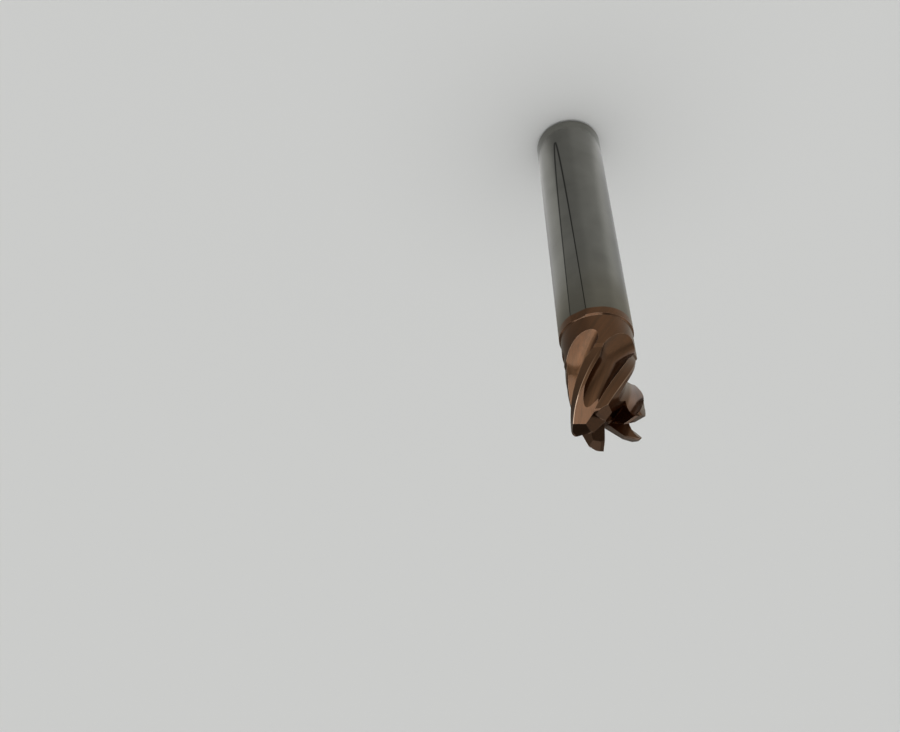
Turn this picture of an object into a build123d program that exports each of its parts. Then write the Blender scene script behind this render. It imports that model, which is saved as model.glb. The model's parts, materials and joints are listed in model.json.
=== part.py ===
from build123d import *
from math import acos, atan2, cos, degrees, pi, radians, sin, tan
import os

# End mill: one solid, ground from a single carbide bar.
# Millimetres. The origin is the centre of the flat shank end, +Z runs along the
# axis to the cutting end, and the corner of the first tooth lies on +X.

# Driving sizes
overall_length = 73.0
shank_diameter = 12.7
neck_diameter = 12.2        # of the bar behind the lands
cutter_diameter = 12.0
head_length = 19.4          # from the foot of the step to the tip
shank_chamfer = 0.6
corner_radius = 0.8
corner_taper = 5.0          # angle of the bar's side where it runs into the corner

# Flat along the shank, which slopes inwards very slightly towards the step
flat_start = 6.0            # height at which it leaves the round of the shank
flat_slope = 0.215
flat_bearing = -70.2        # where it lies round the axis

# Flutes, which are arcs of a circle in every cross section
flute_count = 5
helix_angle = 34.0          # right-hand helix, measured at the cutter's diameter
core_diameter = 7.5
rake_angle = 4.5            # of the flute wall at the cutting edge
flute_length = 16.5         # from the tip to the end of the run-out
run_out_length = 5.5        # where the grinding wheel lifts out of the bar
run_out_widening = 1.6      # growth of the wheel's arc by the end of the run-out

# Lands, the ground strips behind each cutting edge
land_length = 12.6
land_run_out_slope = 22.0
primary_land = 18.0         # angle round the axis that the first strip covers
primary_drop = 0.10         # how far its rear edge lies below the cutting edge
secondary_land = 8.0
secondary_drop = 0.38

# End teeth
end_rake_angle = 6.0        # turns the end cutting edges behind the centre
end_dish_angle = 2.5        # end cutting edges fall towards the centre
end_relief_width = 0.55
end_relief_angle = 8.0
end_clearance_width = 3.2
end_clearance_angle = 25.0

# Gashes, the notches that open the flutes to the end face
gash_centre_depth = 2.07
gash_overrun = 1.2          # how far each gash runs past the centre
gash_break_radius = 3.3
gash_inner_slope = 21.0     # fall of the floor towards the rim, inside the break
gash_outer_slope = 56.0
gash_floor_rise = 41.5      # rise of the floor towards the next tooth

cutting_margin = 1.0        # how far the cutting bodies reach past the bar
surface_margin = 0.15       # the same for the curved walls that they leave behind
section_spacing = 1.5       # between the sections that shape a flute

# Values that follow from the driving sizes
shank_radius = shank_diameter / 2
neck_radius = neck_diameter / 2
cutter_radius = cutter_diameter / 2
core_radius = core_diameter / 2
step_height = shank_radius - neck_radius
step_foot = overall_length - head_length
land_foot = overall_length - land_length
tooth_pitch = 360 / flute_count
helix_lead = pi * cutter_diameter / tan(radians(helix_angle))
rake_offset = cutter_radius * sin(radians(rake_angle))
flute_radius = (cutter_radius**2 - core_radius**2) / (2 * (core_radius + rake_offset))
flute_centre_radius = core_radius + flute_radius
flute_centre_angle = degrees(
    atan2(flute_radius * cos(radians(rake_angle)), cutter_radius - flute_radius * sin(radians(rake_angle)))
)
dish_slope = tan(radians(end_dish_angle))


def helix_turn(height):
    """Angle of a cutting edge at a height, zero for the first tooth at the tip."""
    return -360 * (overall_length - height) / helix_lead


def polar(radius, angle):
    """A flat vector from a radius and an angle in degrees."""
    return Vector(radius * cos(radians(angle)), radius * sin(radians(angle)))


def along_end_edge():
    """Level direction from the first tooth's corner along its end edge, to the centre."""
    return -polar(1, end_rake_angle)


def ahead_of_end_edge():
    """Level direction that the first tooth's end edge cuts in."""
    return polar(1, 90 + end_rake_angle)


def around(body):
    """One copy of a body for each tooth."""
    return [Rot(0, 0, index * tooth_pitch) * body for index in range(flute_count)]


def make_blank():
    """The turned bar: shank, chamfered end, step, and rounded cutting corner."""
    corner_centre = Vector(cutter_radius - corner_radius, overall_length - corner_radius)
    rim_end = Vector(corner_centre.X, overall_length)
    corner_start = corner_centre + polar(corner_radius, corner_taper)
    taper_length = (neck_radius - corner_start.X) / tan(radians(corner_taper))
    side = Polyline(
        (0, 0),
        (shank_radius - shank_chamfer, 0),
        (shank_radius, shank_chamfer),
        (shank_radius, step_foot - step_height),
        (neck_radius, step_foot),
        (neck_radius, corner_start.Y - taper_length),
        corner_start,
    )
    corner_middle = corner_centre + polar(corner_radius, 45)
    corner = ThreePointArc(corner_start, corner_middle, rim_end)
    end = Polyline(rim_end, (0, overall_length), (0, 0))
    profile = make_face(side + corner + end)
    # The surfaces' own seams lie in the middle of the flat, where the cut removes them.
    return Rot(0, 0, flat_bearing) * revolve(Plane.XZ * profile, Axis.Z)


def make_flat():
    """The wedge taken off the shank by its long shallow flat."""
    rise = tan(radians(flat_slope))
    below = flat_start - cutting_margin
    outside = shank_radius + cutting_margin
    profile = make_face(
        Polyline(
            (shank_radius + (flat_start - below) * rise, below),
            (shank_radius - (step_foot - flat_start) * rise, step_foot),
            (outside, step_foot),
            (outside, below),
            close=True,
        )
    )
    wedge = extrude(Plane.XZ * profile, amount=shank_radius / 2, both=True)
    return Rot(0, 0, flat_bearing) * wedge


def wheel_section(height):
    """Level outline of the grinding wheel: its arc inside the bar, closed outside it."""
    full_depth_end = overall_length - flute_length + run_out_length
    share = max(0.0, (full_depth_end - height) / run_out_length)
    radius = flute_radius * (1 + run_out_widening * share)
    distance = core_radius + radius + (neck_radius - core_radius) * share**2
    reach = neck_radius + surface_margin
    spread_cosine = (distance**2 + radius**2 - reach**2) / (2 * distance * radius)
    centre = Vector(distance, 0)
    bottom = Vector(distance - radius, 0)
    first = centre + polar(radius, 180 - degrees(acos(spread_cosine)))
    last = Vector(first.X, -first.Y)
    beyond = Vector(cutting_margin, 0)
    arc = ThreePointArc(first, bottom, last)
    closing = Polyline(last, last + beyond, first + beyond, first)
    turn = helix_turn(height) + flute_centre_angle
    return Pos(0, 0, height) * Rot(0, 0, turn) * make_face(arc + closing)


def make_flute():
    """The wheel's round profile carried along the helix, lifting out at the run-out."""
    bottom = overall_length - flute_length - surface_margin / 3
    top = overall_length + surface_margin
    count = round((top - bottom) / section_spacing)
    heights = [bottom + (top - bottom) * index / count for index in range(count + 1)]
    return loft([wheel_section(height) for height in heights])


def land_outline(height, lift):
    """Level outline of the sliver ground off behind a cutting edge, raised by a lift."""
    edge = Vector(cutter_radius + lift, 0)
    heel = polar(cutter_radius - primary_drop + lift, -primary_land)
    back = polar(cutter_radius - secondary_drop + lift, -primary_land - secondary_land)
    ahead = edge + (edge - heel).normalized() * surface_margin
    outside = neck_radius + cutting_margin
    outer = [point.normalized() * outside for point in (back, heel, edge)]
    # The front leans into the flute, so that nothing of the bar is left between the two.
    front = polar(outside, flute_centre_angle)
    outline = Wire.make_polygon([ahead, heel, back, *outer, front])
    return Pos(0, 0, height) * Rot(0, 0, helix_turn(height)) * outline


def make_land():
    """The sliver ground off behind a cutting edge to give it clearance."""
    run = land_length + cutting_margin
    outline = land_outline(land_foot, 0)
    centre = Vector(0, 0, land_foot)
    twist = 360 * run / helix_lead
    return Solid.extrude_linear_with_rotation(outline, centre, Vector(0, 0, run), twist)


def make_land_run_out():
    """The slope by which a land climbs back to the neck's surface."""
    climb = neck_radius - cutter_radius + secondary_drop + surface_margin
    run = climb / tan(radians(land_run_out_slope))
    raised = land_outline(land_foot - run, climb)
    return Solid.make_loft([raised, land_outline(land_foot, 0)], ruled=True)


def make_gash():
    """The notch in front of an end tooth, with a floor of two slopes."""
    reach = -cutting_margin
    break_depth = gash_centre_depth + gash_break_radius * tan(radians(gash_inner_slope))
    rim_run = cutter_radius - gash_break_radius - reach
    rim_depth = break_depth + rim_run * tan(radians(gash_outer_slope))
    past_depth = gash_centre_depth - gash_overrun * tan(radians(gash_inner_slope))
    profile = make_face(
        Polyline(
            (reach, cutting_margin),
            (reach, -rim_depth),
            (cutter_radius - gash_break_radius, -break_depth),
            (cutter_radius + gash_overrun, -past_depth),
            (cutter_radius + gash_overrun, cutting_margin),
            close=True,
        )
    )
    corner = (cutter_radius, 0, overall_length)
    base = Plane(corner, x_dir=along_end_edge(), z_dir=ahead_of_end_edge())
    rising = base.z_dir + Vector(0, 0, tan(radians(gash_floor_rise)))
    run = cutter_diameter * rising.length
    return extrude(base * profile, amount=run, dir=rising.normalized())


def make_end_relief():
    """The two flats ground behind an end cutting edge."""
    relief_depth = end_relief_width * tan(radians(end_relief_angle))
    clearance_run = end_clearance_width - end_relief_width
    clearance_depth = relief_depth + clearance_run * tan(radians(end_clearance_angle))
    profile = make_face(
        Polyline(
            (-end_relief_width, cutting_margin),
            (-end_relief_width, 0),
            (0, 0),
            (end_relief_width, -relief_depth),
            (end_clearance_width, -clearance_depth),
            (end_clearance_width, cutting_margin),
            close=True,
        )
    )
    corner = (cutter_radius, 0, overall_length + corner_radius * dish_slope)
    base = Plane(corner, x_dir=-ahead_of_end_edge(), z_dir=along_end_edge())
    falling = base.z_dir - Vector(0, 0, dish_slope)
    outer = (base * profile).moved(Location(falling * -cutting_margin))
    run = (cutter_radius - gash_break_radius / 2 + cutting_margin) * falling.length
    return extrude(outer, amount=run, dir=falling.normalized())


end_mill = make_blank()
end_mill -= make_flat()
end_mill -= around(make_flute())
end_mill -= around(make_land())
end_mill -= around(make_land_run_out())
end_mill -= around(make_gash())
end_mill -= around(make_end_relief())

os.makedirs("parts", exist_ok=True)
export_step(end_mill, "parts/end_mill.step")
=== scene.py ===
import json
import logging
import math
from dataclasses import dataclass, field, replace
from enum import Enum

import bmesh
import bpy
from mathutils import Matrix, Vector

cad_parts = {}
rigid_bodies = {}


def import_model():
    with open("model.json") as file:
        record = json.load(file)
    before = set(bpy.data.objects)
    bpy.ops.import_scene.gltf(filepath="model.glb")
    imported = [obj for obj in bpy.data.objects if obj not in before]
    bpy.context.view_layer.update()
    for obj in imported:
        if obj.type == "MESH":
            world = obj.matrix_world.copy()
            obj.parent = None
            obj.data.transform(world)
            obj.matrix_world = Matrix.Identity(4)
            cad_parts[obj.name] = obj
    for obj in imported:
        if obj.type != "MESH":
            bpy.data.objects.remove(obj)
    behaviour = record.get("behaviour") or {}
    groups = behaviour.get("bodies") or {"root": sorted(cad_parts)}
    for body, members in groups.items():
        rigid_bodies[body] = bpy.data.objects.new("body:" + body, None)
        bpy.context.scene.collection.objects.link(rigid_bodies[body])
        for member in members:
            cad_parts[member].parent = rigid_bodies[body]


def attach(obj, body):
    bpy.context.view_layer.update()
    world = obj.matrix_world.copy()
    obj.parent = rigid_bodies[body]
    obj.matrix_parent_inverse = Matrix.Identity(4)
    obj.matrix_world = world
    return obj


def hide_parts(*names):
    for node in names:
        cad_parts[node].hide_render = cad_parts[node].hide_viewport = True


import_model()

log = logging.getLogger("end_mill")
MM = 0.001
Ring = list[Vector]


class Wheel(Enum):
    """The grinding passes that shape the bar, named after what they leave."""

    FLAT = "flat"
    FLUTE = "flute"
    LAND = "land"
    GASH = "gash"
    END_RELIEF = "end relief"


@dataclass(frozen=True)
class ToolSizes:
    """The end mill's sizes in millimetres and degrees, as the solid has them."""

    length: float = 73.0
    shank_radius: float = 6.35
    shank_chamfer: float = 0.6
    neck_radius: float = 6.1
    cutter_radius: float = 6.0
    corner_radius: float = 0.8
    corner_taper: float = 5.0
    head_length: float = 19.4
    flat_start: float = 6.0
    flat_slope: float = 0.215
    flat_bearing: float = -70.2
    teeth: int = 5
    helix_angle: float = 34.0
    core_radius: float = 3.75
    rake_angle: float = 4.5
    flute_length: float = 16.5
    run_out_length: float = 5.5
    run_out_widening: float = 1.6
    land_length: float = 12.6
    land_run_out_slope: float = 22.0
    primary_land: float = 18.0
    primary_drop: float = 0.10
    secondary_land: float = 8.0
    secondary_drop: float = 0.38
    end_rake: float = 6.0
    end_dish: float = 2.5
    end_relief_width: float = 0.55
    end_relief_angle: float = 8.0
    end_clearance_width: float = 3.2
    end_clearance_angle: float = 25.0
    gash_depth: float = 2.07
    gash_overrun: float = 1.2
    gash_break: float = 3.3
    gash_inner_slope: float = 21.0
    gash_outer_slope: float = 56.0
    gash_rise: float = 41.5
    coating_start: float = 52.0

    @property
    def step_foot(self) -> float:
        """Height of the foot of the step, where the neck starts."""
        return self.length - self.head_length

    @property
    def land_foot(self) -> float:
        """Height where the lands have come down to their full depth."""
        return self.length - self.land_length

    @property
    def lead(self) -> float:
        """Height in which a cutting edge goes once round the tool."""
        return math.tau * self.cutter_radius / math.tan(math.radians(self.helix_angle))

    @property
    def wheel_radius(self) -> float:
        """Radius of the round flute in a level section.

        Returns:
            The radius in millimetres.
        """
        rake_offset = self.cutter_radius * math.sin(math.radians(self.rake_angle))
        depth_term = self.cutter_radius**2 - self.core_radius**2
        return depth_term / (2 * (self.core_radius + rake_offset))

    @property
    def wheel_bearing(self) -> float:
        """Angle of the flute's centre ahead of the cutting edge.

        Returns:
            The angle in degrees.
        """
        sideways = self.wheel_radius * math.cos(math.radians(self.rake_angle))
        inwards = self.wheel_radius * math.sin(math.radians(self.rake_angle))
        return math.degrees(math.atan2(sideways, self.cutter_radius - inwards))


def level(radius: float, angle: float) -> Vector:
    """A level vector from a radius and an angle in degrees."""
    turn = math.radians(angle)
    return Vector((radius * math.cos(turn), radius * math.sin(turn), 0.0))


def slope(angle: float) -> float:
    """The rise per unit of run of an angle in degrees."""
    return math.tan(math.radians(angle))


def skinned(name: str, rings: list[Ring]) -> bpy.types.Mesh:
    """Joins rings of equal length into one closed skin with flat ends.

    Args:
        name: The mesh's name.
        rings: Rings of points in millimetres, from one end of the body to the other.

    Returns:
        A closed mesh in metres with its faces pointing outwards.
    """
    form = bmesh.new()
    rows = [[form.verts.new(point * MM) for point in ring] for ring in rings]
    count = len(rows[0])
    for low, high in zip(rows, rows[1:]):
        for here in range(count):
            there = (here + 1) % count
            form.faces.new((low[here], low[there], high[there], high[here]))
    form.faces.new(rows[0])
    form.faces.new(rows[-1])
    bmesh.ops.recalc_face_normals(form, faces=form.faces)
    mesh = bpy.data.meshes.new(name)
    form.to_mesh(mesh)
    form.free()
    return mesh


@dataclass
class GrindingWheels:
    """The bodies that the wheels sweep through the bar, for the first tooth."""

    sizes: ToolSizes
    margin: float = 1.0
    edge_margin: float = 0.15
    row_spacing: float = 0.2
    arc_points: int = 30

    def _heights(self, bottom: float, top: float) -> list[float]:
        """Even heights between two heights, a row apart."""
        count = max(1, round((top - bottom) / self.row_spacing))
        return [bottom + (top - bottom) * step / count for step in range(count + 1)]

    def _flute_section(self, height: float) -> Ring:
        """Outline of the flute wheel at a height, before it is turned along the helix.

        Args:
            height: Height above the shank end.

        Returns:
            The arc inside the bar and two points that close it outside.
        """
        tool = self.sizes
        full_depth_end = tool.length - tool.flute_length + tool.run_out_length
        share = max(0.0, (full_depth_end - height) / tool.run_out_length)
        wheel = tool.wheel_radius * (1 + tool.run_out_widening * share)
        lift = (tool.neck_radius - tool.core_radius) * share**2
        distance = tool.core_radius + wheel + lift
        reach = tool.neck_radius + self.edge_margin
        cosine = (distance**2 + wheel**2 - reach**2) / (2 * distance * wheel)
        spread = math.degrees(math.acos(cosine))
        lead_in = tool.wheel_bearing
        centre = level(distance, lead_in) + Vector((0.0, 0.0, height))
        ring = []
        for step in range(self.arc_points + 1):
            angle = 180.0 - spread + 2 * spread * step / self.arc_points
            ring.append(centre + level(wheel, lead_in + angle))
        beyond = level(self.margin, lead_in)
        return [*ring, ring[-1] + beyond, ring[0] + beyond]

    def flute(self) -> bpy.types.Mesh:
        """The round wheel's body, straight, with its lift at the run-out.

        Returns:
            The body for the first tooth, before it is wound along the helix.
        """
        tool = self.sizes
        bottom = tool.length - tool.flute_length - self.edge_margin / 3
        heights = self._heights(bottom, tool.length + self.edge_margin)
        return skinned("flute wheel", [self._flute_section(height) for height in heights])

    def _land_section(self, height: float) -> Ring:
        """Outline of the sliver behind a cutting edge, raised where the land runs out.

        Args:
            height: Height above the shank end.

        Returns:
            The outline, before it is turned along the helix.
        """
        tool = self.sizes
        lift = max(0.0, tool.land_foot - height) * slope(tool.land_run_out_slope)
        edge = level(tool.cutter_radius + lift, 0.0)
        heel = level(tool.cutter_radius - tool.primary_drop + lift, -tool.primary_land)
        back_angle = -tool.primary_land - tool.secondary_land
        back = level(tool.cutter_radius - tool.secondary_drop + lift, back_angle)
        ahead = edge + (edge - heel).normalized() * self.edge_margin
        outside = tool.neck_radius + self.margin
        outer = [point.normalized() * outside for point in (back, heel, ahead)]
        return [point + Vector((0.0, 0.0, height)) for point in (ahead, heel, back, *outer)]

    def land(self) -> bpy.types.Mesh:
        """The sliver taken off behind a cutting edge, straight, with its sloping foot.

        Returns:
            The body for the first tooth, before it is wound along the helix.
        """
        tool = self.sizes
        climb = tool.neck_radius - tool.cutter_radius + tool.secondary_drop + self.edge_margin
        run = climb / slope(tool.land_run_out_slope)
        foot = self._heights(tool.land_foot - run, tool.land_foot)
        rest = self._heights(tool.land_foot, tool.length + self.margin)
        return skinned("land wheel", [self._land_section(height) for height in [*foot, *rest[1:]]])

    def flat(self) -> bpy.types.Mesh:
        """The wedge taken off the shank by its long shallow flat.

        Returns:
            The body in its place.
        """
        tool = self.sizes
        rise = slope(tool.flat_slope)
        below = tool.flat_start - self.margin
        outside = tool.shank_radius + self.margin
        profile = [
            (tool.shank_radius + (tool.flat_start - below) * rise, below),
            (tool.shank_radius - (tool.step_foot - tool.flat_start) * rise, tool.step_foot),
            (outside, tool.step_foot),
            (outside, below),
        ]
        sideways = level(tool.shank_radius / 2, tool.flat_bearing + 90.0)
        middle = [level(out, tool.flat_bearing) + Vector((0.0, 0.0, up)) for out, up in profile]
        sides = [[point + sideways * side for point in middle] for side in (-1, 1)]
        return skinned("flat wheel", sides)

    def gash(self) -> bpy.types.Mesh:
        """The notch in front of an end tooth, with a floor of two slopes.

        Returns:
            The body for the first tooth.
        """
        tool = self.sizes
        break_depth = tool.gash_depth + tool.gash_break * slope(tool.gash_inner_slope)
        rim_run = tool.cutter_radius - tool.gash_break + self.margin
        rim_depth = break_depth + rim_run * slope(tool.gash_outer_slope)
        past_depth = tool.gash_depth - tool.gash_overrun * slope(tool.gash_inner_slope)
        far = tool.cutter_radius + tool.gash_overrun
        profile = [
            (-self.margin, self.margin),
            (-self.margin, -rim_depth),
            (tool.cutter_radius - tool.gash_break, -break_depth),
            (far, -past_depth),
            (far, self.margin),
        ]
        along = -level(1.0, tool.end_rake)
        corner = Vector((tool.cutter_radius, 0.0, tool.length))
        near = [corner + along * run + Vector((0.0, 0.0, rise)) for run, rise in profile]
        ahead = level(1.0, 90.0 + tool.end_rake) + Vector((0.0, 0.0, slope(tool.gash_rise)))
        travel = ahead * 2 * tool.cutter_radius
        return skinned("gash wheel", [near, [point + travel for point in near]])

    def end_relief(self) -> bpy.types.Mesh:
        """The two flats ground behind an end cutting edge.

        Returns:
            The body for the first tooth.
        """
        tool = self.sizes
        relief_depth = tool.end_relief_width * slope(tool.end_relief_angle)
        run = tool.end_clearance_width - tool.end_relief_width
        clearance_depth = relief_depth + run * slope(tool.end_clearance_angle)
        profile = [
            (-tool.end_relief_width, self.margin),
            (-tool.end_relief_width, 0.0),
            (0.0, 0.0),
            (tool.end_relief_width, -relief_depth),
            (tool.end_clearance_width, -clearance_depth),
            (tool.end_clearance_width, self.margin),
        ]
        dish = slope(tool.end_dish)
        behind = -level(1.0, 90.0 + tool.end_rake)
        falling = -level(1.0, tool.end_rake) - Vector((0.0, 0.0, dish))
        rise = tool.length + tool.corner_radius * dish
        corner = Vector((tool.cutter_radius, 0.0, rise)) - falling * self.margin
        near = [corner + behind * back + Vector((0.0, 0.0, up)) for back, up in profile]
        reach = tool.cutter_radius - tool.gash_break / 2 + self.margin
        return skinned("end wheel", [near, [point + falling * reach for point in near]])

    def objects(self) -> dict[Wheel, bpy.types.Object]:
        """Makes one helper object for each wheel.

        Returns:
            The helper objects, which are removed once the tool is ground.
        """
        bodies = {
            Wheel.FLAT: self.flat(),
            Wheel.FLUTE: self.flute(),
            Wheel.LAND: self.land(),
            Wheel.GASH: self.gash(),
            Wheel.END_RELIEF: self.end_relief(),
        }
        return {wheel: bpy.data.objects.new(mesh.name, mesh) for wheel, mesh in bodies.items()}


class Sheet:
    """A node tree with short ways to place, link and calculate."""

    def __init__(self, tree: bpy.types.NodeTree) -> None:
        """Keeps the tree that the nodes go into."""
        self.tree = tree

    def node(self, kind: str, **settings: object) -> bpy.types.Node:
        """Places a node and sets its properties.

        Args:
            kind: The node's type name.
            **settings: Properties of the node, by name.

        Returns:
            The new node.
        """
        made = self.tree.nodes.new(kind)
        for name, value in settings.items():
            setattr(made, name, value)
        return made

    def feed(self, socket: bpy.types.NodeSocket, value: object) -> None:
        """Links an output to a socket, or writes a plain value there.

        Args:
            socket: The input that is fed.
            value: The output or the value.
        """
        if isinstance(value, bpy.types.NodeSocket):
            self.tree.links.new(value, socket)
        else:
            socket.default_value = value

    def math(self, operation: str, *values: object, clamp: bool = False) -> bpy.types.NodeSocket:
        """A Math node.

        Args:
            operation: The node's operation.
            *values: Up to three outputs or numbers.
            clamp: Whether the result is held between 0 and 1.

        Returns:
            The result.
        """
        made = self.node("ShaderNodeMath", operation=operation, use_clamp=clamp)
        for socket, value in zip(made.inputs, values):
            self.feed(socket, value)
        return made.outputs[0]

    def combined(self, x: object, y: object, z: object) -> bpy.types.NodeSocket:
        """A vector from three outputs or numbers.

        Args:
            x: Its first part.
            y: Its second part.
            z: Its third part.

        Returns:
            The vector.
        """
        made = self.node("ShaderNodeCombineXYZ")
        for socket, value in zip(made.inputs, (x, y, z)):
            self.feed(socket, value)
        return made.outputs[0]


class GrindingTree:
    """The Geometry Nodes that grind every tooth out of the bar."""

    def __init__(self) -> None:
        """Builds the tree with its named inputs."""
        self.tree = bpy.data.node_groups.new("grind the teeth", "GeometryNodeTree")
        self.inputs: dict[str, str] = {}
        for name, kind in (
            ("Bar", "NodeSocketGeometry"),
            ("Flat Wheel", "NodeSocketObject"),
            ("Flute Wheel", "NodeSocketObject"),
            ("Land Wheel", "NodeSocketObject"),
            ("Gash Wheel", "NodeSocketObject"),
            ("End Wheel", "NodeSocketObject"),
            ("Teeth", "NodeSocketInt"),
            ("Lead", "NodeSocketFloat"),
            ("Tip Height", "NodeSocketFloat"),
            ("Crease Angle", "NodeSocketFloat"),
            ("Finish", "NodeSocketMaterial"),
        ):
            socket = self.tree.interface.new_socket(name, in_out="INPUT", socket_type=kind)
            self.inputs[name] = socket.identifier
        self.tree.interface.new_socket("Tool", in_out="OUTPUT", socket_type="NodeSocketGeometry")
        self._lay_out()

    def _lay_out(self) -> None:
        """Places the nodes: flat, twist, repeat for each tooth, crease and finish."""
        sheet = Sheet(self.tree)
        given = sheet.node("NodeGroupInput").outputs
        straight = [self._body(sheet, given[name]) for name in ("Gash Wheel", "End Wheel")]
        helical = [self._body(sheet, given[name]) for name in ("Flute Wheel", "Land Wheel")]
        twisted = [self._twisted(sheet, given, body) for body in helical]
        entry = sheet.node("GeometryNodeRepeatInput")
        leave = sheet.node("GeometryNodeRepeatOutput")
        entry.pair_with_output(leave)
        sheet.feed(entry.inputs["Iterations"], given["Teeth"])
        flat = self._body(sheet, given["Flat Wheel"])
        sheet.feed(entry.inputs["Geometry"], self._cut(sheet, given["Bar"], flat))
        pitch = sheet.math("DIVIDE", math.tau, given["Teeth"])
        turn = sheet.math("MULTIPLY", entry.outputs["Iteration"], pitch)
        work = entry.outputs["Geometry"]
        for body in (*twisted, *straight):
            turned = sheet.node("GeometryNodeTransform")
            sheet.feed(turned.inputs["Geometry"], body)
            sheet.feed(turned.inputs["Rotation"], sheet.combined(0.0, 0.0, turn))
            work = self._cut(sheet, work, turned.outputs[0])
        sheet.feed(leave.inputs["Geometry"], work)
        real = sheet.node("GeometryNodeRealizeInstances")
        sheet.feed(real.inputs[0], self._creased(sheet, given, leave.outputs["Geometry"]))
        finish = sheet.node("GeometryNodeSetMaterial")
        sheet.feed(finish.inputs["Geometry"], real.outputs[0])
        sheet.feed(finish.inputs["Material"], given["Finish"])
        sheet.feed(sheet.node("NodeGroupOutput").inputs[0], finish.outputs[0])

    def _body(self, sheet: Sheet, wheel: bpy.types.NodeSocket) -> bpy.types.NodeSocket:
        """The geometry of a wheel's helper object.

        Args:
            sheet: The tree to place the nodes in.
            wheel: The tree's input for the object.

        Returns:
            The geometry.
        """
        info = sheet.node("GeometryNodeObjectInfo", transform_space="ORIGINAL")
        sheet.feed(info.inputs["Object"], wheel)
        return info.outputs["Geometry"]

    def _cut(
        self, sheet: Sheet, work: bpy.types.NodeSocket, body: bpy.types.NodeSocket
    ) -> bpy.types.NodeSocket:
        """Takes a wheel's body off the work.

        Args:
            sheet: The tree to place the nodes in.
            work: What is being ground.
            body: The wheel's body.

        Returns:
            The work with the body cut out of it.
        """
        cut = sheet.node("GeometryNodeMeshBoolean", operation="DIFFERENCE", solver="MANIFOLD")
        sheet.feed(cut.inputs["Mesh 1"], work)
        sheet.feed(cut.inputs["Mesh 2"], body)
        return cut.outputs["Mesh"]

    def _twisted(
        self, sheet: Sheet, given: bpy.types.NodeOutputs, body: bpy.types.NodeSocket
    ) -> bpy.types.NodeSocket:
        """Turns a straight body along the helix, by each point's depth below the tip.

        Args:
            sheet: The tree to place the nodes in.
            given: The tree's inputs.
            body: The straight body.

        Returns:
            The body wound right-handed about the tool's axis.
        """
        place = sheet.node("GeometryNodeInputPosition").outputs[0]
        apart = sheet.node("ShaderNodeSeparateXYZ")
        sheet.feed(apart.inputs[0], place)
        above = sheet.math("SUBTRACT", apart.outputs["Z"], given["Tip Height"])
        turns = sheet.math("DIVIDE", above, given["Lead"])
        rotate = sheet.node("ShaderNodeVectorRotate", rotation_type="Z_AXIS")
        sheet.feed(rotate.inputs["Vector"], place)
        sheet.feed(rotate.inputs["Angle"], sheet.math("MULTIPLY", turns, math.tau))
        moved = sheet.node("GeometryNodeSetPosition")
        sheet.feed(moved.inputs["Geometry"], body)
        sheet.feed(moved.inputs["Position"], rotate.outputs[0])
        return moved.outputs[0]

    def _creased(
        self, sheet: Sheet, given: bpy.types.NodeOutputs, work: bpy.types.NodeSocket
    ) -> bpy.types.NodeSocket:
        """Shades the ground faces smooth and keeps every ground edge sharp.

        Args:
            sheet: The tree to place the nodes in.
            given: The tree's inputs.
            work: The ground tool.

        Returns:
            The shaded tool.
        """
        smooth = sheet.node("GeometryNodeSetShadeSmooth", domain="FACE")
        sheet.feed(smooth.inputs["Geometry"], work)
        angle = sheet.node("GeometryNodeInputMeshEdgeAngle").outputs["Unsigned Angle"]
        sharp = sheet.node("FunctionNodeCompare", data_type="FLOAT", operation="GREATER_THAN")
        sheet.feed(sharp.inputs["A"], angle)
        sheet.feed(sharp.inputs["B"], given["Crease Angle"])
        crease = sheet.node("GeometryNodeSetShadeSmooth", domain="EDGE")
        sheet.feed(crease.inputs["Geometry"], smooth.outputs[0])
        sheet.feed(crease.inputs["Selection"], sharp.outputs[0])
        sheet.feed(crease.inputs["Shade Smooth"], False)
        return crease.outputs[0]


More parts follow.
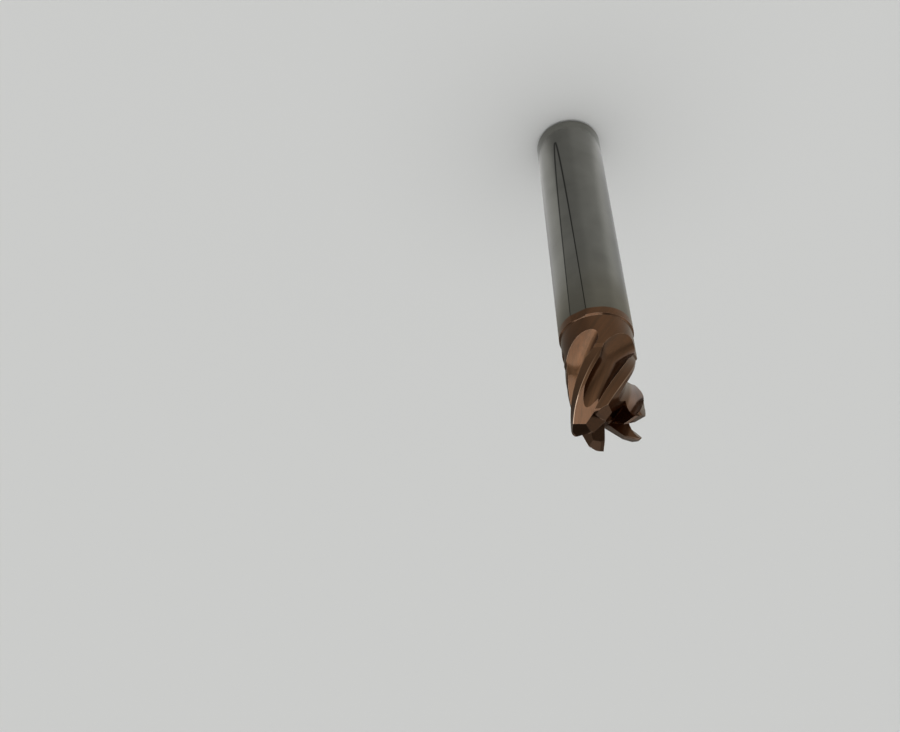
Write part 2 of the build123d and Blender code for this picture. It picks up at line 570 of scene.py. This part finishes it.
@dataclass
class EndMill:
    """The tool itself: one bar of carbide, turned, fluted and coated."""

    sizes: ToolSizes = field(default_factory=ToolSizes)
    bar_segments: int = 240
    corner_steps: int = 12
    crease_angle: float = 9.0

    def bar(self) -> bpy.types.Mesh:
        """The turned bar, before any wheel has touched it.

        Returns:
            The closed bar, with its rounded cutting corner.
        """
        tool = self.sizes
        step_height = tool.shank_radius - tool.neck_radius
        corner = []
        for step in range(self.corner_steps + 1):
            angle = tool.corner_taper + (90.0 - tool.corner_taper) * step / self.corner_steps
            place = level(tool.corner_radius, angle)
            out = tool.cutter_radius - tool.corner_radius + place.x
            corner.append((out, tool.length - tool.corner_radius + place.y))
        start_out, start_up = corner[0]
        taper_length = (tool.neck_radius - start_out) / slope(tool.corner_taper)
        profile = [
            (tool.shank_radius - tool.shank_chamfer, 0.0),
            (tool.shank_radius, tool.shank_chamfer),
            (tool.shank_radius, tool.step_foot - step_height),
            (tool.neck_radius, tool.step_foot),
            (tool.neck_radius, start_up - taper_length),
            *corner,
        ]
        turns = [360.0 * step / self.bar_segments for step in range(self.bar_segments)]
        rings = []
        for radius, height in profile:
            rings.append([level(radius, turn) + Vector((0, 0, height)) for turn in turns])
        return skinned("bar", rings)

    def grind(self, finish: bpy.types.Material) -> bpy.types.Object:
        """Cuts the teeth with Geometry Nodes and keeps the result as a plain mesh.

        Args:
            finish: The material of the finished tool.

        Returns:
            The visible end mill.
        """
        tool = self.sizes
        wheels = GrindingWheels(tool).objects()
        tree = GrindingTree()
        work = bpy.data.objects.new("bar", self.bar())
        bpy.context.scene.collection.objects.link(work)
        for wheel in wheels.values():
            bpy.context.scene.collection.objects.link(wheel)
        grinder = work.modifiers.new("grind", "NODES")
        grinder.node_group = tree.tree
        for name, value in (
            ("Flat Wheel", wheels[Wheel.FLAT]),
            ("Flute Wheel", wheels[Wheel.FLUTE]),
            ("Land Wheel", wheels[Wheel.LAND]),
            ("Gash Wheel", wheels[Wheel.GASH]),
            ("End Wheel", wheels[Wheel.END_RELIEF]),
            ("Teeth", tool.teeth),
            ("Lead", tool.lead * MM),
            ("Tip Height", tool.length * MM),
            ("Crease Angle", math.radians(self.crease_angle)),
            ("Finish", finish),
        ):
            grinder[tree.inputs[name]] = value
        view = bpy.context.evaluated_depsgraph_get()
        mesh = bpy.data.meshes.new_from_object(work.evaluated_get(view), depsgraph=view)
        mesh.name = "ground_end_mill"
        for helper in (work, *wheels.values()):
            bpy.data.objects.remove(helper)
        ground = bpy.data.objects.new("ground_end_mill", mesh)
        bpy.context.scene.collection.objects.link(ground)
        return ground


@dataclass(frozen=True)
class GrindingPath:
    """How a surface's grinding lines run: their density each way, and two scales."""

    turn: float
    out: float
    up: float
    fine: float
    coarse: float


@dataclass(frozen=True)
class GroundCarbide:
    """The bare shank: tungsten carbide, ground and polished round the axis."""

    colour: tuple[float, float, float] = (0.213, 0.212, 0.189)
    smudge: tuple[float, float, float] = (0.165, 0.164, 0.145)
    roughness: float = 0.2
    roughness_spread: float = 0.14
    path: GrindingPath = GrindingPath(0.02, 0.0, 40.0, 160.0, 22.0)
    cloud_scale: float = 170.0
    cloud_contrast: tuple[float, float] = (3.0, -1.25)
    streak_contrast: tuple[float, float] = (1.2, -0.35)
    line_colour: tuple[float, float, float] = (0.045, 0.045, 0.04)
    line_width: float = 0.27
    line_narrowing: float = 0.003


@dataclass(frozen=True)
class BronzeCoating:
    """The thin hard coating on the cutting head."""

    colour: tuple[float, float, float] = (0.204, 0.098, 0.049)
    tint: tuple[float, float, float] = (0.130, 0.071, 0.038)
    tint_contrast: tuple[float, float] = (2.6, -0.8)
    # Pale colour of the painted highlights: at the sharp edges partly worn coating, at the heels only
    # painted highlight.
    highlight_and_wear_colour: tuple[float, float, float] = (0.72, 0.52, 0.39)
    roughness: float = 0.2
    roughness_spread: float = 0.14
    path: GrindingPath = GrindingPath(0.25, 40.0, 0.3, 90.0, 16.0)
    gloss: float = 0.35
    gloss_roughness: float = 0.08
    # Width of the pale sharp edges, which are partly worn coating and partly painted highlight.
    edge_highlight_and_wear_width: float = 0.09
    # The heel line is a painted highlight along the back edge of each land.
    heel_highlight_contrast: tuple[float, float] = (-70.0, 1.3)
    heel_highlight_depth: float = 0.2
    heel_highlight_start: float = 1.0
    heel_highlight_fade: float = 6.0
    heel_highlight_strength: float = 0.8
    start_wobble: float = 0.18
    start_sharpness: float = 9000.0
    wobble_scale: float = 260.0


class ShaderGroup:
    """A shader node group with named inputs and outputs."""

    def __init__(self, name: str, inputs: dict[str, float | None], outputs: list[str]) -> None:
        """Makes the group's sockets.

        Args:
            name: The group's name.
            inputs: Names of the inputs, each with its number, or None for a vector.
            outputs: Names of the outputs, which are all plain values.
        """
        self.tree = bpy.data.node_groups.new(name, "ShaderNodeTree")
        for title, value in inputs.items():
            kind = "NodeSocketVector" if value is None else "NodeSocketFloat"
            socket = self.tree.interface.new_socket(title, in_out="INPUT", socket_type=kind)
            if value is not None:
                socket.default_value = value
        for title in outputs:
            self.tree.interface.new_socket(title, in_out="OUTPUT", socket_type="NodeSocketFloat")
        self.sheet = Sheet(self.tree)
        self.given = self.sheet.node("NodeGroupInput").outputs
        self.result = self.sheet.node("NodeGroupOutput").inputs

    def placed(self, sheet: Sheet, **values: object) -> bpy.types.NodeOutputs:
        """Places the group in a material.

        Args:
            sheet: The material's node tree.
            **values: Outputs or numbers for the inputs, by name with _ for a space.

        Returns:
            The placed group's outputs.
        """
        made = sheet.node("ShaderNodeGroup", node_tree=self.tree)
        for title, value in values.items():
            sheet.feed(made.inputs[title.replace("_", " ")], value)
        return made.outputs


class HelixPlace(ShaderGroup):
    """Where a point lies on the tool: its radius and its angle past a cutting edge."""

    def __init__(self) -> None:
        """Places the nodes that unwind the helix."""
        super().__init__(
            "place on the helix",
            {"Place": None, "Lead": 1.0, "Tip Height": 1.0, "Teeth": 5.0},
            ["Phase", "Radius", "Turn"],
        )
        sheet, given = self.sheet, self.given
        apart = sheet.node("ShaderNodeSeparateXYZ")
        sheet.feed(apart.inputs[0], given["Place"])
        across = sheet.node("ShaderNodeVectorMath", operation="LENGTH")
        sheet.feed(across.inputs[0], sheet.combined(apart.outputs["X"], apart.outputs["Y"], 0.0))
        turn = sheet.math("ARCTAN2", apart.outputs["Y"], apart.outputs["X"])
        below = sheet.math("SUBTRACT", given["Tip Height"], apart.outputs["Z"])
        wound = sheet.math("MULTIPLY", sheet.math("DIVIDE", below, given["Lead"]), math.tau)
        pitch = sheet.math("DIVIDE", math.tau, given["Teeth"])
        unwound = sheet.math("ADD", turn, wound)
        sheet.feed(self.result["Phase"], sheet.math("FLOORED_MODULO", unwound, pitch))
        sheet.feed(self.result["Radius"], across.outputs["Value"])
        sheet.feed(self.result["Turn"], unwound)


class EdgeHighlightAndWear(ShaderGroup):
    """A mask of the sharp edges, broken up a little along their length: pale edges that are partly
    worn coating and partly a painted highlight.
    """

    bevel_samples: int = 6
    break_contrast: tuple[float, float] = (2.4, -0.55)

    def __init__(self) -> None:
        """Places the nodes that compare the flat normal with a rounded one."""
        super().__init__(
            "edge wear", {"Place": None, "Width": 0.0001, "Sharpness": 6.0, "Breaks": 900.0}, ["Mask"]
        )
        sheet, given = self.sheet, self.given
        rounded = sheet.node("ShaderNodeBevel", samples=self.bevel_samples)
        sheet.feed(rounded.inputs["Radius"], given["Width"])
        plain = sheet.node("ShaderNodeNewGeometry").outputs["Normal"]
        agree = sheet.node("ShaderNodeVectorMath", operation="DOT_PRODUCT")
        sheet.feed(agree.inputs[0], rounded.outputs[0])
        sheet.feed(agree.inputs[1], plain)
        away = sheet.math("SUBTRACT", 1.0, agree.outputs["Value"])
        edge = sheet.math("MULTIPLY", away, given["Sharpness"], clamp=True)
        noise = sheet.node("ShaderNodeTexNoise")
        sheet.feed(noise.inputs["Vector"], given["Place"])
        sheet.feed(noise.inputs["Scale"], given["Breaks"])
        broken = noise.outputs["Fac"]
        kept = sheet.math("MULTIPLY_ADD", broken, *self.break_contrast, clamp=True)
        sheet.feed(self.result["Mask"], sheet.math("MULTIPLY", edge, kept))


class GrindingGrain(ShaderGroup):
    """Fine grinding lines: noise drawn out along the wheel's path."""

    def __init__(self) -> None:
        """Places two layers of stretched noise, fine and coarse."""
        super().__init__("grinding grain", {"Path": None, "Fine": 1.0, "Coarse": 0.2}, ["Grain"])
        sheet, given = self.sheet, self.given
        layers = []
        for size in ("Fine", "Coarse"):
            noise = sheet.node("ShaderNodeTexNoise")
            sheet.feed(noise.inputs["Vector"], given["Path"])
            sheet.feed(noise.inputs["Scale"], given[size])
            noise.inputs["Detail"].default_value = 2.0
            layers.append(noise.outputs["Fac"])
        total = sheet.math("ADD", *layers)
        sheet.feed(self.result["Grain"], sheet.math("MULTIPLY", total, 0.5))


class FlatEdges(ShaderGroup):
    """A mask of the two long edges of the shank's flat."""

    line_sharpness: float = 1.6

    def __init__(self) -> None:
        """Places the nodes that measure how far a point lies from an edge."""
        super().__init__(
            "edges of the flat",
            {
                "Place": None,
                "Bearing": 0.0,
                "Start": 0.0,
                "Rise": 0.0,
                "Bar Radius": 1.0,
                "Line Width": 1.0,
            },
            ["Mask"],
        )
        sheet, given = self.sheet, self.given
        turned = sheet.node("ShaderNodeVectorRotate", rotation_type="Z_AXIS")
        sheet.feed(turned.inputs["Vector"], given["Place"])
        sheet.feed(turned.inputs["Angle"], sheet.math("MULTIPLY", given["Bearing"], -1.0))
        apart = sheet.node("ShaderNodeSeparateXYZ")
        sheet.feed(apart.inputs[0], turned.outputs[0])
        height = sheet.math("SUBTRACT", apart.outputs["Z"], given["Start"])
        depth = sheet.math("MAXIMUM", sheet.math("MULTIPLY", height, given["Rise"]), 0.0)
        twice = sheet.math("SUBTRACT", sheet.math("MULTIPLY", given["Bar Radius"], 2.0), depth)
        half = sheet.math("SQRT", sheet.math("MULTIPLY", depth, twice))
        aside = sheet.math("ABSOLUTE", apart.outputs["Y"])
        gap = sheet.math("ABSOLUTE", sheet.math("SUBTRACT", aside, half))
        near = sheet.math("SUBTRACT", 1.0, sheet.math("DIVIDE", gap, given["Line Width"]))
        line = sheet.math("MULTIPLY", near, self.line_sharpness, clamp=True)
        front = sheet.math("GREATER_THAN", apart.outputs["X"], 0.0)
        along = sheet.math("GREATER_THAN", height, 0.0)
        side = sheet.math("MULTIPLY", front, along)
        sheet.feed(self.result["Mask"], sheet.math("MULTIPLY", line, side))


class ToolFinish:
    """The tool's one material: bare carbide below the coating line, coating above."""

    def __init__(self, sizes: ToolSizes) -> None:
        """Builds the material for a tool of these sizes.

        Args:
            sizes: The sizes that place the coating and the lines.
        """
        self.sizes = sizes
        self.shank = GroundCarbide()
        self.head = BronzeCoating()
        self.material = bpy.data.materials.new("coated_carbide")
        self.material.use_nodes = True
        self.sheet = Sheet(self.material.node_tree)
        self.place = self.sheet.node("ShaderNodeTexCoord").outputs["Object"]
        apart = self.sheet.node("ShaderNodeSeparateXYZ")
        self.sheet.feed(apart.inputs[0], self.place)
        self.height = apart.outputs["Z"]
        self.helix = HelixPlace().placed(
            self.sheet,
            Place=self.place,
            Lead=sizes.lead * MM,
            Tip_Height=sizes.length * MM,
            Teeth=float(sizes.teeth),
        )
        self.grain = GrindingGrain()
        self._lay_out()

    def _blend(self, amount: object, below: object, above: object) -> bpy.types.NodeSocket:
        """Mixes two colours.

        Args:
            amount: Share of the second colour.
            below: The first colour, as an output or as three numbers.
            above: The second colour.

        Returns:
            The mixed colour.
        """
        mix = self.sheet.node("ShaderNodeMix", data_type="RGBA")
        self.sheet.feed(mix.inputs[0], amount)
        for socket, colour in ((mix.inputs[6], below), (mix.inputs[7], above)):
            self.sheet.feed(socket, (*colour, 1.0) if isinstance(colour, tuple) else colour)
        return mix.outputs[2]

    def _noise(self, scale: float, detail: float = 2.0) -> bpy.types.NodeSocket:
        """Plain noise over the tool, with its scale in waves per metre.

        Args:
            scale: The scale.
            detail: How many finer layers it has.

        Returns:
            The noise, about 0.5 on average.
        """
        noise = self.sheet.node("ShaderNodeTexNoise")
        self.sheet.feed(noise.inputs["Vector"], self.place)
        noise.inputs["Scale"].default_value = scale
        noise.inputs["Detail"].default_value = detail
        return noise.outputs["Fac"]

    def _grain(self, path: GrindingPath) -> bpy.types.NodeSocket:
        """The grinding lines of one surface.

        Args:
            path: How the lines run.

        Returns:
            The lines, about 0.5 on average.
        """
        sheet = self.sheet
        turn = sheet.math("MULTIPLY", self.helix["Turn"], path.turn)
        out = sheet.math("MULTIPLY", self.helix["Radius"], path.out)
        up = sheet.math("MULTIPLY", self.height, path.up)
        way = sheet.combined(turn, out, up)
        return self.grain.placed(sheet, Path=way, Fine=path.fine, Coarse=path.coarse)["Grain"]

    def _shank_colour(self, grain: bpy.types.NodeSocket) -> bpy.types.NodeSocket:
        """Bare carbide with faint clouds, and the dark lines along the flat.

        Args:
            grain: The grinding lines round the shank.

        Returns:
            The colour.
        """
        sheet, tool = self.sheet, self.sizes
        noise = self._noise(self.shank.cloud_scale)
        cloud = sheet.math("MULTIPLY_ADD", noise, *self.shank.cloud_contrast, clamp=True)
        ground = self._blend(cloud, self.shank.colour, self.shank.smudge)
        streak = sheet.math("MULTIPLY_ADD", grain, *self.shank.streak_contrast, clamp=True)
        streaked = self._blend(streak, ground, self.shank.colour)
        narrowing = -self.shank.line_narrowing
        width = sheet.math("MULTIPLY_ADD", self.height, narrowing, self.shank.line_width * MM)
        line = FlatEdges().placed(
            sheet,
            Place=self.place,
            Bearing=math.radians(tool.flat_bearing),
            Start=tool.flat_start * MM,
            Rise=slope(tool.flat_slope),
            Bar_Radius=tool.shank_radius * MM,
            Line_Width=width,
        )["Mask"]
        return self._blend(line, streaked, self.shank.line_colour)

    def _head_colour(self, grain: bpy.types.NodeSocket) -> bpy.types.NodeSocket:
        """The coating with faint tints along the grinding, pale sharp edges that are partly worn
        coating and partly painted highlight, and a painted highlight along the heel of each land.

        Args:
            grain: The grinding lines along the flutes.

        Returns:
            The colour.
        """
        sheet, tool = self.sheet, self.sizes
        tint = sheet.math("MULTIPLY_ADD", grain, *self.head.tint_contrast, clamp=True)
        coated = self._blend(tint, self.head.colour, self.head.tint)
        # Pale sharp edges: partly worn coating, partly a painted highlight.
        edge_highlight_and_wear = EdgeHighlightAndWear().placed(sheet, Place=self.place, Width=self.head.edge_highlight_and_wear_width * MM)["Mask"]
        # A painted highlight along the heel of each land, fading in above the land's foot.
        heel = math.tau / tool.teeth - math.radians(tool.primary_land)
        gap = sheet.math("ABSOLUTE", sheet.math("SUBTRACT", self.helix["Phase"], heel))
        line = sheet.math("MULTIPLY_ADD", gap, *self.head.heel_highlight_contrast, clamp=True)
        deepest = (tool.cutter_radius - self.head.heel_highlight_depth) * MM
        outer = sheet.math("GREATER_THAN", self.helix["Radius"], deepest)
        start = (tool.land_foot + self.head.heel_highlight_start) * MM
        above = sheet.math("SUBTRACT", self.height, start)
        ground = sheet.math("DIVIDE", above, self.head.heel_highlight_fade * MM, clamp=True)
        heel_highlight = sheet.math("MULTIPLY", line, sheet.math("MULTIPLY", outer, ground))
        faint = sheet.math("MULTIPLY", heel_highlight, self.head.heel_highlight_strength)
        # Both painted highlights take the pale colour.
        bright = sheet.math("MAXIMUM", edge_highlight_and_wear, faint)
        return self._blend(bright, coated, self.head.highlight_and_wear_colour)

    def _coated(self) -> bpy.types.NodeSocket:
        """One above the coating's slightly uneven start and nothing below it.

        Returns:
            The mask.
        """
        sheet = self.sheet
        wobble = sheet.math("SUBTRACT", self._noise(self.head.wobble_scale, 1.0), 0.5)
        shift = sheet.math("MULTIPLY", wobble, self.head.start_wobble * MM * 2)
        above = sheet.math("SUBTRACT", self.height, self.sizes.coating_start * MM)
        uneven = sheet.math("ADD", above, shift)
        return sheet.math("MULTIPLY_ADD", uneven, self.head.start_sharpness, 0.5, clamp=True)

    def _lay_out(self) -> None:
        """Places the nodes that mix the two finishes by height."""
        sheet = self.sheet
        shader = self.material.node_tree.nodes["Principled BSDF"]
        shader.inputs["Metallic"].default_value = 1.0
        coated = self._coated()
        round_grain, flute_grain = self._grain(self.shank.path), self._grain(self.head.path)
        shank, head = self._shank_colour(round_grain), self._head_colour(flute_grain)
        sheet.feed(shader.inputs["Base Color"], self._blend(coated, shank, head))
        mix = sheet.node("ShaderNodeMix")
        sheet.feed(mix.inputs[0], coated)
        for socket, grain, ground in (
            (mix.inputs[2], round_grain, self.shank),
            (mix.inputs[3], flute_grain, self.head),
        ):
            spread = ground.roughness_spread
            lowest = ground.roughness - spread / 2
            sheet.feed(socket, sheet.math("MULTIPLY_ADD", grain, spread, lowest))
        sheet.feed(shader.inputs["Roughness"], mix.outputs[0])
        gloss = sheet.math("MULTIPLY", coated, self.head.gloss)
        sheet.feed(shader.inputs["Coat Weight"], gloss)
        shader.inputs["Coat Roughness"].default_value = self.head.gloss_roughness


@dataclass(frozen=True)
class Paper:
    """How brightly the paper round the tool glows in one direction, from the tool to the wall."""

    bearing: float
    near: float
    middle: float
    far: float
    wall: float


@dataclass
class Studio:
    """The pale floor, the papers, the soft lights and the camera of the photograph.

    Sizes are in millimetres, and each glowing paper's levels are multiples of plain white.
    """

    floor_reach: float = 3000.0
    floor_colour: tuple[float, float, float] = (0.685, 0.69, 0.68)
    room_colour: tuple[float, float, float] = (0.61, 0.615, 0.605)
    ceiling_colour: tuple[float, float, float] = (0.07, 0.07, 0.07)
    darkening: tuple[float, float, float] = (0.30, -0.18, 2.9)
    paper_rings: tuple[float, ...] = (8, 25, 38, 46, 56, 66, 80, 120, 200, 400, 800)
    paper_blends: tuple[tuple[float, float], ...] = ((46.0, 66.0), (80.0, 200.0), (400.0, 800.0))
    paper_tint: tuple[float, float, float] = (1.0, 0.94, 0.82)
    paper_segments: int = 72
    paper_lift: float = 0.3
    wall_height: float = 300.0
    softbox_high: tuple[float, float, float] = (-260.0, -460.0, 560.0)
    softbox_low: tuple[float, float, float] = (600.0, -330.0, 120.0)
    softbox_aim: tuple[float, float, float] = (0.0, 0.0, 60.0)
    softbox_width: float = 450.0
    softbox_power: float = 1.28
    fill_strength: float = 2.05
    fill_angle: float = 65.0
    camera_place: tuple[float, float, float] = (-6.14, -123.40, 161.25)
    camera_ahead: tuple[float, float, float] = (0.1913, 0.7397, -0.645)
    camera_right: tuple[float, float, float] = (-0.9658, 0.2592, 0.0108)
    lens_length: float = 38.13
    sensor_width: float = 36.0
    nearest_seen: float = 10.0
    papers: tuple[Paper, ...] = (
        Paper(-150.0, 0.54, 0.36, 0.23, 0.18),
        Paper(-115.0, 0.46, 0.39, 0.33, 0.34),
        Paper(-90.0, 0.34, 0.33, 0.50, 0.52),
        Paper(-60.0, 0.30, 0.19, 0.66, 0.34),
        Paper(-20.0, 0.75, 0.15, 0.60, 0.48),
        Paper(20.0, 0.78, 0.16, 0.12, 0.15),
        Paper(60.0, 0.44, 0.17, 0.10, 0.24),
        Paper(105.0, 0.52, 0.30, 0.12, 0.18),
        Paper(140.0, 0.53, 0.38, 0.22, 0.36),
        Paper(180.0, 0.80, 0.37, 0.25, 0.45),
    )

    def _laid(self, name: str, form: bmesh.types.BMesh) -> bpy.types.Object:
        """Makes an object of a form and puts it into the scene.

        Args:
            name: The object's name.
            form: The form, which is used up.

        Returns:
            The object.
        """
        mesh = bpy.data.meshes.new(name)
        form.to_mesh(mesh)
        form.free()
        made = bpy.data.objects.new(name, mesh)
        bpy.context.scene.collection.objects.link(made)
        return made

    def floor(self) -> None:
        """A wide pale floor under the tool."""
        form = bmesh.new()
        bmesh.ops.create_grid(form, x_segments=1, y_segments=1, size=self.floor_reach * MM)
        floor = self._laid("floor", form)
        material = bpy.data.materials.new("pale_floor")
        material.use_nodes = True
        shader = material.node_tree.nodes["Principled BSDF"]
        shader.inputs["Base Color"].default_value = (*self.floor_colour, 1.0)
        shader.inputs["Roughness"].default_value = 1.0
        shader.inputs["Specular IOR Level"].default_value = 0.0
        floor.data.materials.append(material)

    def _paper_level(self, bearing: float, radius: float) -> float:
        """How light the paper is at a place.

        Args:
            bearing: Direction from the tool in degrees, from -180 to 180.
            radius: Distance from the tool in millimetres.

        Returns:
            The level, blended smoothly between the papers on either side.
        """
        laid = [replace(self.papers[-1], bearing=-180.0), *self.papers]
        after = next(index for index in range(1, len(laid)) if bearing <= laid[index].bearing)
        low, high = laid[after - 1], laid[after]
        share = (bearing - low.bearing) / (high.bearing - low.bearing)
        share = share * share * (3 - 2 * share)
        light, *further = (
            getattr(low, ring) * (1 - share) + getattr(high, ring) * share
            for ring in ("near", "middle", "far", "wall")
        )
        for (start, end), beyond in zip(self.paper_blends, further):
            out = min(1.0, max(0.0, (radius - start) / (end - start)))
            light = light * (1 - out) + beyond * out
        return light

    def paper(self) -> None:
        """Glowing paper on the floor and the wall, brighter in some directions and darker in others:
        painted reflections, which only polished surfaces see.
        """
        form = bmesh.new()
        glow = form.verts.layers.float_color.new("glow")
        count = self.paper_segments
        rows = []
        places = [(radius, self.paper_lift) for radius in self.paper_rings]
        for radius, height in [*places, (self.paper_rings[-1], self.wall_height)]:
            row = []
            for step in range(count):
                bearing = 360.0 * step / count - 180.0
                point = form.verts.new((level(radius, bearing) + Vector((0, 0, height))) * MM)
                light = self._paper_level(bearing, radius)
                tint = self.paper_tint if radius > self.paper_blends[0][0] else (1.0, 1.0, 1.0)
                point[glow] = (*(light * share for share in tint), 1.0)
                row.append(point)
            rows.append(row)
        for near, far in zip(rows, rows[1:]):
            for here in range(count):
                there = (here + 1) % count
                form.faces.new((near[here], far[here], far[there], near[there]))
        laid = self._laid("paper", form)
        laid.visible_camera = False
        laid.visible_diffuse = False
        laid.visible_shadow = False
        material = bpy.data.materials.new("light_and_dark_paper")
        material.use_nodes = True
        sheet = Sheet(material.node_tree)
        shader = material.node_tree.nodes["Principled BSDF"]
        shader.inputs["Base Color"].default_value = (0.0, 0.0, 0.0, 1.0)
        # The paper glows at its painted levels; it is no lamp, but shows in polished surfaces as
        # painted reflections.
        shader.inputs["Emission Strength"].default_value = 1.0
        glowing = sheet.node("ShaderNodeAttribute", attribute_name="glow")
        sheet.feed(shader.inputs["Emission Color"], glowing.outputs["Color"])
        laid.data.materials.append(material)

    def softbox(self) -> None:
        """A long softbox that slants down to the right, which only polished surfaces see."""
        high, low = Vector(self.softbox_high) * MM, Vector(self.softbox_low) * MM
        middle, along = (high + low) / 2, low - high
        lamp = bpy.data.lights.new("slanting softbox", "AREA")
        lamp.shape = "RECTANGLE"
        lamp.size, lamp.size_y = along.length, self.softbox_width * MM
        lamp.energy = self.softbox_power
        hung = bpy.data.objects.new("slanting softbox", lamp)
        back = (middle - Vector(self.softbox_aim) * MM).normalized()
        side = (along - back * along.dot(back)).normalized()
        turn = Matrix((side, back.cross(side), back)).transposed().to_4x4()
        hung.matrix_world = Matrix.Translation(middle) @ turn
        hung.visible_camera = False
        hung.visible_diffuse = False
        bpy.context.scene.collection.objects.link(hung)

    def fill(self) -> None:
        """A broad light from above, which reaches the whole floor and shows in no metal."""
        lamp = bpy.data.lights.new("overhead fill", "SUN")
        lamp.energy = self.fill_strength
        lamp.angle = math.radians(self.fill_angle)
        hung = bpy.data.objects.new("overhead fill", lamp)
        hung.location = (0.0, 0.0, 1.0)
        hung.visible_glossy = False
        bpy.context.scene.collection.objects.link(hung)

    def room(self) -> None:
        """The even light of the room: pale walls and a ceiling that is darker on one side."""
        world = bpy.data.worlds.new("room")
        bpy.context.scene.world = world
        world.use_nodes = True
        sheet = Sheet(world.node_tree)
        rise = sheet.node("ShaderNodeVectorMath", operation="DOT_PRODUCT")
        sheet.feed(rise.inputs[0], sheet.node("ShaderNodeTexCoord").outputs["Generated"])
        sheet.feed(rise.inputs[1], self.darkening)
        up = sheet.math("SUBTRACT", rise.outputs["Value"], 1.0, clamp=True)
        mix = sheet.node("ShaderNodeMix", data_type="RGBA")
        sheet.feed(mix.inputs[0], up)
        sheet.feed(mix.inputs[6], (*self.room_colour, 1.0))
        sheet.feed(mix.inputs[7], (*self.ceiling_colour, 1.0))
        background = world.node_tree.nodes["Background"]
        sheet.feed(background.inputs["Color"], mix.outputs[2])

    def camera(self) -> None:
        """The camera of the photograph, rolled so that the cutting end is nearest."""
        ahead = Vector(self.camera_ahead).normalized()
        right = Vector(self.camera_right)
        right = (right - ahead * right.dot(ahead)).normalized()
        up = right.cross(ahead)
        turn = Matrix((right, up, -ahead)).transposed().to_4x4()
        lens = bpy.data.cameras.new("camera")
        lens.lens = self.lens_length
        lens.sensor_width = self.sensor_width
        lens.clip_start = self.nearest_seen * MM
        place = Vector(self.camera_place) * MM
        camera = bpy.data.objects.new("camera", lens)
        camera.matrix_world = Matrix.Translation(place) @ turn
        bpy.context.scene.collection.objects.link(camera)
        bpy.context.scene.camera = camera


def clear_startup() -> None:
    """Removes what Blender's own start file brings."""
    for name in ("Cube", "Camera", "Light"):
        if name in bpy.data.objects:
            bpy.data.objects.remove(bpy.data.objects[name])


def main() -> None:
    """Builds the tool, then the studio."""
    logging.basicConfig(level=logging.INFO, format="%(name)s: %(message)s")
    clear_startup()
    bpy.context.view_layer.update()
    mill = EndMill()
    ground = mill.grind(ToolFinish(mill.sizes).material)
    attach(ground, "root")
    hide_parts("end_mill")
    log.info("%s: %d faces", ground.name, len(ground.data.polygons))
    studio = Studio()
    studio.floor()
    studio.paper()
    studio.softbox()
    studio.fill()
    studio.room()
    studio.camera()
    bpy.context.scene.view_settings.view_transform = "Standard"


if __name__ == "__main__":
    main()
